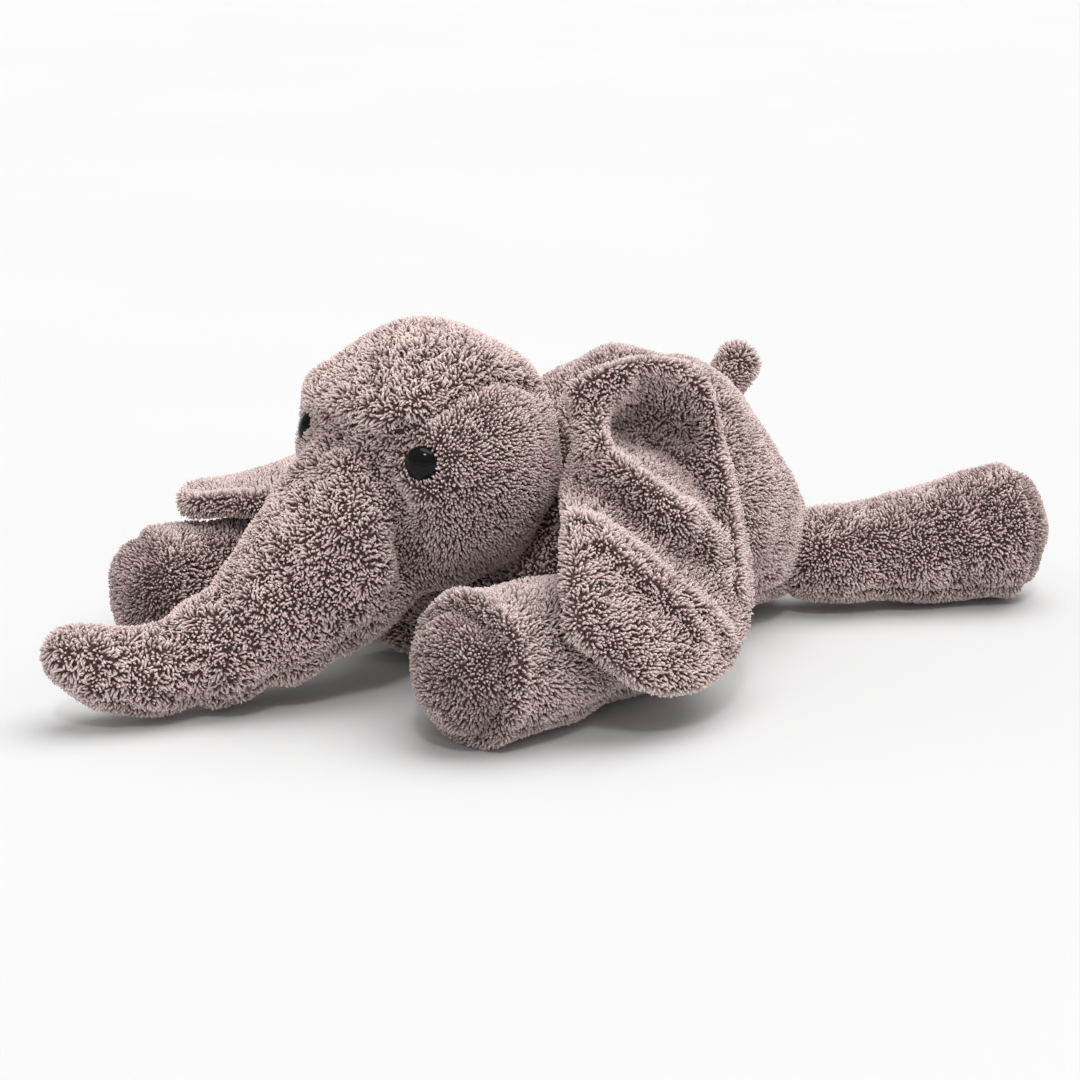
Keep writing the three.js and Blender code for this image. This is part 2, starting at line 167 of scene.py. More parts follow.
def search_tree(points):
    tree = KDTree(len(points))
    for i, p in enumerate(points.tolist()):
        tree.insert(p, i)
    tree.balance()
    return tree


# ---------------------------------------------------------------- meshes


def mesh_object(name, verts, faces):
    """faces is a list of (n, 3) or (n, 4) arrays of corners."""
    mesh = bpy.data.meshes.new(name)
    faces = [np.asarray(f) for f in faces if len(f)]
    corners = np.concatenate([f.ravel() for f in faces])
    sides = np.concatenate([np.full(len(f), f.shape[1]) for f in faces])
    mesh.vertices.add(len(verts))
    mesh.vertices.foreach_set("co", np.asarray(verts, np.float32).ravel())
    mesh.loops.add(len(corners))
    mesh.loops.foreach_set("vertex_index", corners.astype(np.int32))
    mesh.polygons.add(len(sides))
    starts = np.concatenate([[0], np.cumsum(sides)[:-1]])
    mesh.polygons.foreach_set("loop_start", starts.astype(np.int32))
    mesh.polygons.foreach_set("use_smooth", np.full(len(sides), True))
    mesh.update(calc_edges=True)
    obj = bpy.data.objects.new(name, mesh)
    bpy.context.collection.objects.link(obj)
    return obj


def ring_quads(rows, turns):
    """The quads between rows of corners that each go once round, and each corner's number and its next."""
    k = np.arange(turns)
    k2 = (k + 1) % turns
    quads = [
        np.stack([i * turns + k, i * turns + k2, (i + 1) * turns + k2, (i + 1) * turns + k], 1)
        for i in range(rows - 1)
    ]
    return np.concatenate(quads), k, k2


class Surface:
    """A skin as arrays: corners, faces and outward normals, and at each corner how long the pile is, which
    way it is combed, how much it leans and how much lighter or darker its pile is painted, mostly as painted
    light and painted shade."""

    def __init__(self, verts, quads):
        self.verts = np.asarray(verts, float)
        self.quads = np.asarray(quads, int)
        self.length = np.ones(len(self.verts))
        self.comb = np.zeros((len(self.verts), 3))
        self.lean = np.full(len(self.verts), LEAN)
        self.tone = np.zeros(len(self.verts))
        self.refresh()

    def refresh(self):
        """Works out the normals again from the corners."""
        v, q = self.verts, self.quads
        n = np.zeros_like(v)
        face = np.cross(v[q[:, 2]] - v[q[:, 0]], v[q[:, 3]] - v[q[:, 1]])
        for i in range(4):
            np.add.at(n, q[:, i], face)
        self.normals = unit(n)

    def triangles(self):
        q = self.quads
        return np.vstack([q[:, [0, 1, 2]], q[:, [0, 2, 3]]])

    def edges(self):
        pairs = [self.quads[:, [i, (i + 1) % 4]] for i in range(4)]
        return np.unique(np.sort(np.vstack(pairs), axis=1), axis=0)

    def relax(self, steps):
        """Smooths the skin by moving each corner half way to the middle of its neighbours."""
        e = self.edges()
        count = np.bincount(e.ravel(), minlength=len(self.verts))[:, None]
        for _ in range(steps):
            total = np.zeros_like(self.verts)
            np.add.at(total, e[:, 0], self.verts[e[:, 1]])
            np.add.at(total, e[:, 1], self.verts[e[:, 0]])
            self.verts += 0.5 * (total / np.maximum(count, 1) - self.verts)
        self.refresh()

    def push(self, amount):
        """Moves the corners outwards by the amount, which is one length or one for each corner."""
        self.verts += self.normals * np.asarray(amount)[..., None]
        self.refresh()

    def part(self, keep_face):
        """The part whose quads are kept, as a skin of its own."""
        q = self.quads[keep_face]
        used, new = np.unique(q, return_inverse=True)
        cut = Surface.__new__(Surface)
        cut.quads = new.reshape(-1, 4)
        for field in ("verts", "normals", "length", "comb", "lean", "tone"):
            setattr(cut, field, getattr(self, field)[used])
        return cut


def joined_nodes(nodes, grow):
    """One mesh of several CAD solids, each made larger by `grow` so that they touch."""
    verts, tris, start = [], [], 0
    for name in nodes:
        bm = bmesh.new()
        bm.from_mesh(frame["nodes"][name].data)
        bmesh.ops.remove_doubles(bm, verts=bm.verts, dist=1e-6)
        bmesh.ops.triangulate(bm, faces=bm.faces)
        bm.normal_update()
        bm.verts.index_update()
        verts += [v.co + v.normal * grow for v in bm.verts]
        tris += [[v.index + start for v in f.verts] for f in bm.faces]
        start = len(verts)
        bm.free()
    return verts, tris


def remeshed(verts, tris, voxel):
    """A closed surface of even quads round the mesh."""
    mesh = bpy.data.meshes.new("form")
    mesh.from_pydata(verts, [], tris)
    obj = bpy.data.objects.new("form", mesh)
    bpy.context.collection.objects.link(obj)
    mod = obj.modifiers.new("remesh", "REMESH")
    mod.mode, mod.voxel_size = "VOXEL", voxel
    graph = bpy.context.evaluated_depsgraph_get()
    made = bpy.data.meshes.new_from_object(obj.evaluated_get(graph))
    co = np.zeros(len(made.vertices) * 3)
    made.vertices.foreach_get("co", co)
    quads = np.zeros(len(made.loops), int)
    made.loops.foreach_get("vertex_index", quads)
    bpy.data.objects.remove(obj)
    bpy.data.meshes.remove(mesh)
    bpy.data.meshes.remove(made)
    return Surface(co.reshape(-1, 3), quads.reshape(-1, 4))


def biggest_shell(surface):
    """Only the largest connected part, so that nothing is left of the gaps inside."""
    e = surface.edges()
    label = np.arange(len(surface.verts))
    while True:
        low = label.copy()
        np.minimum.at(low, e[:, 0], label[e[:, 1]])
        np.minimum.at(low, e[:, 1], label[e[:, 0]])
        low = low[low]
        if (low == label).all():
            break
        label = low
    ids, counts = np.unique(label, return_counts=True)
    keep = label == ids[np.argmax(counts)]
    return surface.part(keep[surface.quads[:, 0]])


def hull_form(nodes):
    """A skin round the convex hull of CAD solids."""
    verts, _ = joined_nodes(nodes, 0)
    bm = bmesh.new()
    for v in verts:
        bm.verts.new(v)
    made = bmesh.ops.convex_hull(bm, input=bm.verts)
    bmesh.ops.delete(bm, geom=[v for v in made["geom_interior"]], context="VERTS")
    bmesh.ops.triangulate(bm, faces=bm.faces)
    bm.verts.index_update()
    out = [v.co.copy() for v in bm.verts], [[v.index for v in f.verts] for f in bm.faces]
    bm.free()
    return biggest_shell(remeshed(*out, VOXEL))


def solid_form(nodes, voxel=VOXEL):
    """A skin round CAD solids that touch or nearly touch."""
    return biggest_shell(remeshed(*joined_nodes(nodes, GAP_CLOSED), voxel))


# ---------------------------------------------------------------- materials


def new_material(name, **values):
    m = bpy.data.materials.new(name)
    m.use_nodes = True
    shader = m.node_tree.nodes["Principled BSDF"]
    for key, value in values.items():
        shader.inputs[key.replace("_", " ")].default_value = value
    return m, m.node_tree, shader


def node(tree, kind, **inputs):
    n = tree.nodes.new(kind)
    for key, value in inputs.items():
        n.inputs[key].default_value = value
    return n


def ramp(tree, stops):
    n = tree.nodes.new("ShaderNodeValToRGB")
    while len(n.color_ramp.elements) < len(stops):
        n.color_ramp.elements.new(0.5)
    for element, (at, colour) in zip(n.color_ramp.elements, stops):
        element.position = at
        element.color = (*colour, 1)
    return n


def patterned_material(name, pattern, dark, light, **values):
    """A material that varies between two colours. pattern is the kind of texture node and its inputs, and
    dark and light are each a place on the ramp and a colour."""
    m, tree, shader = new_material(name, **values)
    where = tree.nodes.new("ShaderNodeTexCoord")
    kind, inputs = pattern
    texture = node(tree, kind, **inputs)
    colour = ramp(tree, [dark, light])
    tree.links.new(where.outputs["Object"], texture.inputs["Vector"])
    tree.links.new(texture.outputs["Fac"], colour.inputs["Fac"])
    tree.links.new(colour.outputs["Color"], shader.inputs["Base Color"])
    return m, tree, shader, texture


def pile_material(root, middle, tip):
    """The strands' UV holds the colour: u is the strand's lightness, which takes in the skin's painted light
    and shade, and v the height along it, darker towards the root as painted shade down among the strands.
    """
    m, tree, shader = new_material(
        "plush_pile", Roughness=0.82, Sheen_Weight=0.85, Sheen_Roughness=0.5, Specular_IOR_Level=0.22
    )
    shader.inputs["Sheen Tint"].default_value = (1.0, 0.93, 0.9, 1)
    uv = tree.nodes.new("ShaderNodeUVMap")
    uv.uv_map = "OFBake"
    split = tree.nodes.new("ShaderNodeSeparateXYZ")
    along = ramp(tree, [(0.0, root), (0.5, middle), (0.85, tip)])
    tone = ramp(tree, [(0.0, DARK_STRAND), (0.5, PLAIN_STRAND), (1.0, LIGHT_STRAND)])
    mix = node(tree, "ShaderNodeMix")
    mix.data_type, mix.blend_type = "RGBA", "MULTIPLY"
    mix.inputs["Factor"].default_value = 1
    link = tree.links.new
    link(uv.outputs["UV"], split.inputs[0])
    link(split.outputs["Y"], along.inputs["Fac"])
    link(split.outputs["X"], tone.inputs["Fac"])
    link(along.outputs["Color"], mix.inputs["A"])
    link(tone.outputs["Color"], mix.inputs["B"])
    link(mix.outputs["Result"], shader.inputs["Base Color"])
    return m


def backing_material():
    """The knitted cloth that the pile grows from, seen only between the strands. Its dark colours are
    painted shade down among the strands.
    """
    pattern = ("ShaderNodeTexNoise", {"Scale": 900, "Detail": 3})
    dark, light = (0.35, (0.045, 0.026, 0.023)), (0.68, (0.12, 0.072, 0.066))
    m, tree, shader, noise = patterned_material(
        "plush_backing", pattern, dark, light, Roughness=0.95, Specular_IOR_Level=0.15
    )
    dent = node(tree, "ShaderNodeBump", Strength=0.5, Distance=0.0006)
    tree.links.new(noise.outputs["Fac"], dent.inputs["Height"])
    tree.links.new(dent.outputs["Normal"], shader.inputs["Normal"])
    return m


# Colour of a strand from its root to its tip, darker towards the root as painted shade down among the
# strands, and what that is multiplied by as the strand's lightness, with its painted light and shade, goes
# from dark to light
ROOT = (0.22, 0.142, 0.131)
MIDDLE = (0.62, 0.464, 0.438)
TIP = (0.89, 0.724, 0.696)
DARK_STRAND = (0.45, 0.40, 0.39)
PLAIN_STRAND = (0.94, 0.93, 0.93)
LIGHT_STRAND = (1.15, 1.13, 1.11)
PLUSH = pile_material(ROOT, MIDDLE, TIP)
BACKING = backing_material()


# ---------------------------------------------------------------- pile

CURL = waves3(11 * MM, SEED)
TWIST = waves3(4.5 * MM, SEED + 5)
PATCH = Waves(26 * MM, SEED + 9)
SAG = np.array([0, 0, -0.15])


def scatter(surface, rng):
    """Points on the skin that keep their distance, with the skin's values at each."""
    t = surface.triangles()
    a, b, c = (surface.verts[t[:, i]] for i in range(3))
    area = np.linalg.norm(np.cross(b - a, c - a), axis=1) / 2
    tries = int(area.sum() / SPACING**2 * TRIES)
    pick = rng.choice(len(t), tries, p=area / area.sum())
    u, v = rng.random(tries), rng.random(tries)
    over = u + v > 1
    u[over], v[over] = 1 - u[over], 1 - v[over]
    share = np.stack([1 - u - v, u, v], 1)[..., None]

    def at(values):
        return (values[t[pick]] * share).sum(1)

    p = at(surface.verts)
    tree = search_tree(p)
    free = np.ones(tries, bool)
    kept = []
    for i in range(tries):
        if free[i]:
            kept.append(i)
            for _, j, _ in tree.find_range(p[i], SPACING):
                free[j] = False
    kept = np.array(kept)
    length, lean, tone = at(np.stack([surface.length, surface.lean, surface.tone], 1))[kept].T
    return p[kept], unit(at(surface.normals))[kept], at(surface.comb)[kept], length, lean, tone


def buried(points, trees):
    """True for the points that lie well inside another skin."""
    inside = np.zeros(len(points), bool)
    for tree, skin in trees:
        low, high = skin.verts.min(0), skin.verts.max(0)
        near = np.nonzero(np.all((points > low) & (points < high), axis=1) & ~inside)[0]
        if len(near):
            nearest = np.array([tree.find(p)[1] for p in points[near]])
            away = points[near] - skin.verts[nearest]
            height = (away * skin.normals[nearest]).sum(1)
            inside[near] = height < -np.maximum(BURIED, 0.6 * np.linalg.norm(away, axis=1))
    return inside


def strands(p, n, comb, length, lean, tone, rng):
    """Curly strands with round tips: corners, quads, end triangles and UVs."""
    count, sides = len(p), SIDES
    rings = np.array([0.0, 0.5, 0.88, 1.0])  # heights of the rings of corners, the last being the tip
    thick = np.array([1.05, 1.0, 0.86, 0.0])
    # Which way each strand leans: with its neighbours, a little by itself, as combed, and down
    push = CURL(p) * 0.25 + TWIST(p) * 0.4 + rng.normal(size=(count, 3)) * 0.42 + comb
    push += SAG
    side = push - n * (push * n).sum(1, keepdims=True)
    amount = np.linalg.norm(side, axis=1, keepdims=True)
    tangent = side / np.maximum(amount, 1e-9)
    bend = lean[:, None] * np.minimum(amount, 1.6)
    cross = np.cross(n, tangent)
    long = (PILE * length * rng.uniform(0.88, 1.1, count))[:, None]
    wide = (STRAND * rng.uniform(0.78, 1.2, count))[:, None]
    swirl = rng.uniform(-0.22, 0.22, (count, 1))
    turn = rng.uniform(0, 2 * math.pi, count)
    verts = np.zeros((count, len(rings) - 1, sides, 3))
    for i, (s, w) in enumerate(zip(rings, thick)):
        up = n * (s - 0.3 * bend * s * s)
        along = tangent * bend * s**1.7 + cross * swirl * math.sin(math.pi * s * 0.9)
        mid = p - n * ROOTED + (up + along) * long
        if i == len(rings) - 1:
            tips = mid
            break
        for k in range(sides):
            angle = turn + 2 * math.pi * k / sides
            arm = tangent * np.cos(angle)[:, None] + cross * np.sin(angle)[:, None]
            verts[:, i, k] = mid + arm * wide * w
    body = (len(rings) - 1) * sides
    verts = np.concatenate([verts.reshape(count, body, 3), tips[:, None]], 1)
    quads, ends = [], []
    for i in range(len(rings) - 2):
        for k in range(sides):
            a, b = i * sides + k, i * sides + (k + 1) % sides
            quads.append([a, b, b + sides, a + sides])
    top = (len(rings) - 2) * sides
    for k in range(sides):
        ends.append([top + k, top + (k + 1) % sides, body])
    start = (np.arange(count) * (body + 1))[:, None, None]
    quads = (np.array(quads)[None] + start).reshape(-1, 4)
    ends = (np.array(ends)[None] + start).reshape(-1, 3)
    # A strand's lightness varies at random and in patches, on top of the painted light and shade from its
    # skin.
    tone = np.clip(0.5 + tone + 0.17 * rng.normal(size=count) + 0.08 * PATCH(p), 0.02, 0.95)
    u = np.tile(np.array([0, 0.01, 0.02]), len(rings) - 1)
    u = tone[:, None] + np.concatenate([u, [0.01]])[None]
    v = np.concatenate([np.repeat(rings[:-1], sides), [1.0]])[None].repeat(count, 0)
    return verts.reshape(-1, 3), quads, ends, np.stack([u, v], 2).reshape(-1, 2)


def grow_pile(name, surface, seed, trees):
    """Covers the skin with strands and returns them as pieces of up to STRANDS_PER_PIECE."""
    rng = np.random.default_rng(seed)
    found = scatter(surface, rng)
    shown = ~buried(found[0], trees)
    found = [values[shown] for values in found]
    pieces = []
    order = np.argsort(found[0][:, 1], kind="stable")
    groups = np.array_split(order, max(1, math.ceil(len(order) / STRANDS_PER_PIECE)))
    for i, g in enumerate(groups):
        verts, quads, ends, uv = strands(*(values[g] for values in found), rng)
        low = verts[:, 2] < PRESSED
        verts[low, 2] = PRESSED + UNEVEN * rng.random(low.sum())
        obj = mesh_object(f"{name}_pile_{i + 1}", verts, [quads, ends])
        layer = obj.data.uv_layers.new(name="OFBake")
        corners = np.concatenate([quads.ravel(), ends.ravel()])
        layer.data.foreach_set("uv", uv[corners].astype(np.float32).ravel())
        obj.data.materials.append(PLUSH)
        pieces.append(obj)
    return pieces


def skin_object(name, surface):
    obj = mesh_object(name, surface.verts, [surface.quads])
    obj.data.materials.append(BACKING)
    return obj


# ---------------------------------------------------------------- skins


def sew(surface, side, depth=SEAM_DEPTH, width=SEAM_WIDTH, parting=SEAM_PARTING):
    """Sinks a seam where side is 0 and parts the pile along it. side is each corner's distance in metres,
    with its sign telling the two pieces of cloth apart, or 1 where there's no seam."""
    close = bump(side, width)
    way = np.zeros_like(surface.verts)
    e = surface.edges()
    step = surface.verts[e[:, 1]] - surface.verts[e[:, 0]]
    slope = (side[e[:, 1]] - side[e[:, 0]]) / np.maximum((step**2).sum(1), 1e-12)
    slope = np.where(np.abs(side[e].sum(1)) < 40 * MM, slope, 0)
    np.add.at(way, e[:, 0], step * slope[:, None])
    np.add.at(way, e[:, 1], step * slope[:, None])
    surface.comb += unit(way) * (np.sign(side) * bump(side, 1.6 * width) * parting)[:, None]
    surface.length *= 1 - 0.3 * bump(side, 0.7 * width)
    surface.push(-depth * close)


def laid(surface, path):
    """A path, given in millimetres, as a smooth line of points on the skin."""
    line = spline(np.array(path) * MM, np.linspace(0, 1, 5 * len(path)))
    tree = search_tree(surface.verts)
    return np.array([tree.find(p)[0] for p in line])


def raise_along(surface, path, height, width, way=None, parting=0.0, tone=0.0, steep=None):
    """A soft ridge along a path, or a seam or hollow where the height is negative. All lengths are in
    millimetres. way is the way that the cloth moves, outwards if it isn't given, parting is how much the
    pile parts along the path, and a positive lightness paints the pile lighter along it as painted light, a
    negative one darker as painted shade. With steep, the ridge drops over that shorter width on the left of
    the path, seen from outside."""
    path = laid(surface, path)
    dist, near = distance_to_path(surface.verts, path)
    away = surface.verts - near
    if steep is not None:
        ahead = np.gradient(path, axis=0)
        tree = search_tree(path)
        at = [tree.find(p)[1] for p in surface.verts.tolist()]
        left = (np.cross(way, ahead[at]) * away).sum(1) > 0
        dist = np.where(left, dist * width / steep, dist)
    shape = bump(dist, width * MM)
    part = bump(dist, 1.6 * width * MM) * parting * smoothstep(0, 1 * MM, dist)
    surface.comb += unit(away) * part[:, None]
    surface.length *= 1 - 0.3 * (parting > 0) * bump(dist, 0.7 * width * MM)
    surface.tone += tone * shape
    surface.verts += (height * MM * shape)[:, None] * (surface.normals if way is None else way)
    surface.refresh()


def mirrored(path):
    return [(-x, y, z) for x, y, z in path]


RUMPLES = Waves(24 * MM, SEED + 3)


def rumple(surface, height):
    """The shallow unevenness of a stuffed cloth, and the way it spreads where it lies on the floor."""
    surface.push(height * RUMPLES(surface.verts))
    low = np.clip(1 - surface.verts[:, 2] / SPREAD_TOP, 0, 1)
    surface.verts += surface.normals * [1, 1, 0] * (SPREAD * low)[:, None]
    surface.verts[:, 2] = np.maximum(surface.verts[:, 2], UNDERSIDE)
    surface.refresh()


TORSO_NODES = ["torso_belly_panel", "torso_left_panel", "torso_right_panel", "torso_stuffing"]
HEAD_NODES = [
    "head_gusset", "head_chin_panel", "head_left_cheek", "head_right_cheek", "head_stuffing",
    "trunk_root_cover", "trunk_root_stuffing",
]
TRUNK_NODES = [f"trunk_{p}_{q}" for p in ("middle", "fore", "tip") for q in ("cover", "stuffing")]
LEGS = ["front_left_leg", "front_right_leg", "hind_left_leg", "hind_right_leg"]

# How much fuller each leg is towards its foot, how much the foot is rounded, how far its sole bulges, how
# far the foot is lifted, how deep the seam around the sole is, and how far behind the foot's end it runs
LEG_SHAPES = {
    "front_left_leg": (0.08, 0.22, 6.5 * MM, 0.8 * MM, 3.6 * MM, 6 * MM),
    "front_right_leg": (0.03, 0.26, 3 * MM, -2.0 * MM, 1.6 * MM, 8 * MM),
    "hind_left_leg": (0.09, 0.3, 2 * MM, 3.2 * MM, 1.4 * MM, 8 * MM),
    "hind_right_leg": (0.09, 0.3, 2 * MM, 3.2 * MM, 1.4 * MM, 8 * MM),
}

# Seams and folds on the head, in millimetres. Those on the left are mirrored to the right.
BROW = [(0, -141, 95), (12, -138.5, 96), (24, -134.6, 93.5), (31, -129, 95)]
GUSSET_SEAM = [
    (31, -129, 95), (34.3, -120, 102.4), (35.3, -105, 111), (33, -84.6, 113.4), (30, -68, 106),
]
CHEEK_FOLD = [(22, -137, 87), (28, -134, 80), (31, -130, 70), (29, -126, 58), (23, -123, 48)]
CHEEK_FOLD_SIDE = [(16, -144, 84), (22, -144, 74), (25, -141, 62), (25, -137, 50)]
BROW_RIDGE = [(22, -133, 103), (30, -124, 104)]
RIGHT_CHEEK_RIDGE = [(-33, -124, 100), (-37, -118, 96), (-38, -118, 82)]
TRUNK_SEAM = [(21, -135, 34), (14, -155, 19), (4, -176, 9), (-5, -196, 6), (-11, -214, 11)]


def joint(name):
    return next(j for j in frame["joints"] if j["name"] == name)


def centre(name):
    low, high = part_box(name)
    return np.array((low + high) / 2)


def eye_axis(side):
    """Where the eye sits on the cloth, and the way that it looks."""
    seat, washer = centre(f"eye_{side}"), centre(f"eye_{side}_washer")
    out = unit(seat - washer)
    return seat - out * EYE_SUNK[side], out


# Where the torso is fuller, or hollow if the height is negative: path, height and width in millimetres,
# and the way that the cloth moves
TORSO_FOLDS = [
    ([(-22, -100, 8), (-32, -98, 12)], 6, 14, unit([-0.25, -1, 0])),  # chest
    ([(8, 24, 102), (26, 26, 98)], 3, 15, None),  # back, in front of the tail
    ([(4, 46, 98), (22, 46, 95)], 2.4, 16, None),
    ([(-30, -20, 98), (0, -26, 104), (8, 4, 104)], -1.8, 20, None),  # dip behind the shoulders
    ([(30, 34, 12), (26, 50, 8), (30, 62, 12)], 4, 14, unit([0.8, -0.3, -0.2])),  # belly's left side
]


def torso_skin():
    s = hull_form(TORSO_NODES)
    s.relax(6)
    s.push(-DEPTH)
    s.relax(4)
    low, high = s.verts.min(0), s.verts.max(0)
    x, y, z = s.verts.T
    back = (z > (low + high)[2] / 2) & (y > low[1] + 30 * MM)
    for path, height, width, way in TORSO_FOLDS:
        raise_along(s, path, height, width, way)
    rumple(s, 0.7 * MM)
    sew(s, np.where(back, x, 1))
    sew(s, z - BELLY_SEAM)
    return s


def head_skin():
    s = solid_form(HEAD_NODES + TRUNK_NODES)
    s.relax(8)
    s.push(-DEPTH)
    s.relax(6)
    rumple(s, 0.5 * MM)
    x, y, z = s.verts.T
    top = smoothstep(84 * MM, 98 * MM, z) * (1 - smoothstep(28 * MM, 36 * MM, np.abs(x)))
    snout = smoothstep(-122 * MM, -138 * MM, y)
    s.lean += 0.22 * np.maximum(top, snout) - 0.14 * (1 - np.maximum(top, snout))
    s.length += 0.12 * top
    # Painted light: the pile on top of the head is painted lighter, where the light falls from above. The
    # next line paints the front of the face lighter higher up.
    s.tone += 0.3 * smoothstep(92 * MM, 120 * MM, z)
    s.tone += 0.15 * smoothstep(-128 * MM, -150 * MM, y) * smoothstep(20 * MM, 50 * MM, z)
    # Painted light and shade: the brow ridge is painted lighter, and the seams and folds darker where shade
    # falls in them.
    for flip in (list, mirrored):
        raise_along(s, flip(BROW_RIDGE), 1.5, 10, tone=0.05)
        raise_along(s, flip(BROW), -4.5, 6, tone=-0.12)
        raise_along(s, flip(BROW), -2, 2, parting=0.5)
        raise_along(s, flip(GUSSET_SEAM), -2.2, 6)
        raise_along(s, flip(GUSSET_SEAM), -2.8, 2.4, parting=0.25, tone=-0.1)
        raise_along(s, flip(CHEEK_FOLD), -4, 9, tone=-0.06)
        raise_along(s, flip(CHEEK_FOLD), -4, 3.5, tone=-0.12, parting=0.4)
        raise_along(s, flip(CHEEK_FOLD_SIDE), 2.5, 6)
        raise_along(s, flip(TRUNK_SEAM), -1.8, 2, parting=0.4, tone=-0.05)
    raise_along(s, RIGHT_CHEEK_RIDGE, 3.4, 10)
    for side in ("left", "right"):
        seat, out = eye_axis(side)
        rel = s.verts - seat
        high = rel @ out
        off = rel - high[:, None] * out
        dist = np.linalg.norm(off, axis=1)
        dist = np.where(np.abs(high) < 15 * MM, dist, 1)  # nothing happens on the head's other side
        socket = 1.0 * MM * bump(dist - 11 * MM, 4 * MM) - 1.3 * MM * bump(dist, 6 * MM)
        s.verts += out * socket[:, None]
        low = smoothstep(-0.4, 0.6, -unit(off)[:, 2])
        close = bump(dist - EYE_RADIUS, 2.6 * MM) * (0.25 + low)
        s.comb -= unit(off) * (1.5 * close)[:, None]
        s.length *= 1 + 0.25 * close
    s.refresh()
    return s


def leg_skin(name):
    s = solid_form([f"{name}_cover", f"{name}_stuffing", f"{name}_sole"])
    s.relax(6)
    s.push(-DEPTH)
    s.relax(4)
    hip = np.array(joint(f"{name}_swing")["pos_m"], float)
    way = unit(centre(f"{name}_sole") - hip)
    along = (s.verts - hip) @ way
    swell, rounding, bulge, lift, seam, edge = LEG_SHAPES[name]
    ring = along - (along.max() - edge)  # distance beyond the seam round the sole
    rumple(s, 0.5 * MM)
    off = s.verts - hip - along[:, None] * way
    near = smoothstep(-16 * MM, 0, along - along.max())  # 1 at the end of the foot
    far = np.linalg.norm(off, axis=1) / hip[2]  # distance from the leg's middle line
    part = along / along.max()  # 0 at the hip, 1 at the end of the foot
    s.verts += off * (swell * smoothstep(0.2, 0.6, part) - rounding * near**2)[:, None]
    s.verts += way * (bulge * near**4 * np.maximum(0, 1 - far**2))[:, None]
    s.verts[:, 2] += lift * smoothstep(0.4, 1, part)
    sole = smoothstep(-1 * MM, 1.5 * MM, ring)
    # Painted shade: the sole, the seam round it and the leg towards its foot are painted darker.
    s.tone -= 0.3 * sole + 0.08 * part + 0.35 * bump(ring, 2.2 * MM)
    s.lean -= 0.12 * sole
    s.refresh()
    s.push(0.8 * MM * bump(ring + 5 * MM, 3 * MM))
    sew(s, ring, seam, 2.6 * MM, 0.6)
    out = np.array([math.copysign(1, hip[0]), 0, 0])
    out = unit(out - way * (out @ way))
    reach = [hip + way * along.max() * t + out * hip[2] * 0.8 for t in (0.1, 0.4, 0.7, 0.9)]
    path = [np.array([p[0], p[1], SEAM_HEIGHT]) / MM for p in reach]
    raise_along(s, path, -1.4, 2, parting=0.5)
    return s


def tail_skin():
    s = solid_form(["tail_cover", "tail_stuffing"], voxel=1.2 * MM)
    s.relax(3)
    s.push(-0.9 * DEPTH)
    s.relax(3)
    high = smoothstep(86 * MM, 104 * MM, s.verts[:, 2])
    s.verts -= np.array([2.9 * MM, 3.7 * MM, 0.3 * MM]) * high[:, None]  # its end bends forwards
    s.refresh()
    return s


# Folds of the left ear, as it hangs: path on the ear in millimetres, height, width, and the width of the
# steep side where a fold stands over the cloth on its left
LEFT_EAR_FOLDS = [
    ([(54, -49, 92), (56, -38, 95), (60, -27, 89)], -11, 9, None),  # hollow under the roll
    ([(60, -38, 87), (66, -32, 79), (71, -30, 73)], -8, 8, None),  # its lower corner
    ([(56, -16, 100), (53, -25, 109), (49, -40, 113), (45, -53, 110), (40, -65, 102)], 8, 7, 4),  # top roll
    ([(48, -46, 106), (48, -53, 97), (50, -60, 89)], 8, 8, 3),  # front end of the roll, turned down
    ([(91, -29, 40), (80, -21, 54), (69, -16, 70), (61, -15, 85), (57, -14, 96)], 6, 4, None),  # back edge
    ([(51, -60, 89), (62, -58, 85), (71, -55, 79), (78, -48, 72), (80, -37, 66)], 8, 11, 2.4),  # upper fold
    ([(85, -45, 65), (82, -38, 63), (78, -30, 62)], -4, 2.4, None),  # notch in the back edge
    ([(60, -73, 77), (76, -70, 73), (88, -62, 63), (93, -47, 53)], -6, 8, None),  # dip between the folds
    ([(69, -85, 73), (88, -72, 62), (95, -66, 54), (100, -55, 43), (101, -44, 31)], 6, 6, 2),  # lower fold
    ([(83, -85, 65), (95, -73, 53), (100, -66, 44), (103, -58, 33)], 4.5, 4, 1.8),  # its second pleat
    ([(85, -91, 63), (97, -93, 48), (105, -80, 32), (107, -65, 25)], 6, 13, None),  # full lobe in front
    ([(90, -93, 58), (97, -96, 48), (101, -93, 41), (104, -88, 34)], -4, 2.4, None),  # wrinkle in the lobe
]
RIGHT_EAR_FOLDS = [
    ([(-62, -62, 78), (-88, -70, 62)], -3, 10, None),  # hollow beside the head
    ([(-112, -40, 62), (-114, -60, 58), (-113, -82, 56), (-113, -97, 54)], -6, 12, None),  # drooping side
    ([(-104, -132, 52), (-90, -143, 49), (-70, -138, 52)], 2, 8, None),  # front tip, turned up a little
]
# The folds of each ear, and the way that they stand out
EARS = {
    "left": (LEFT_EAR_FOLDS, unit([0.82, -0.5, 0.28])),
    "right": (RIGHT_EAR_FOLDS, unit([-0.2, -0.1, 0.97])),
}


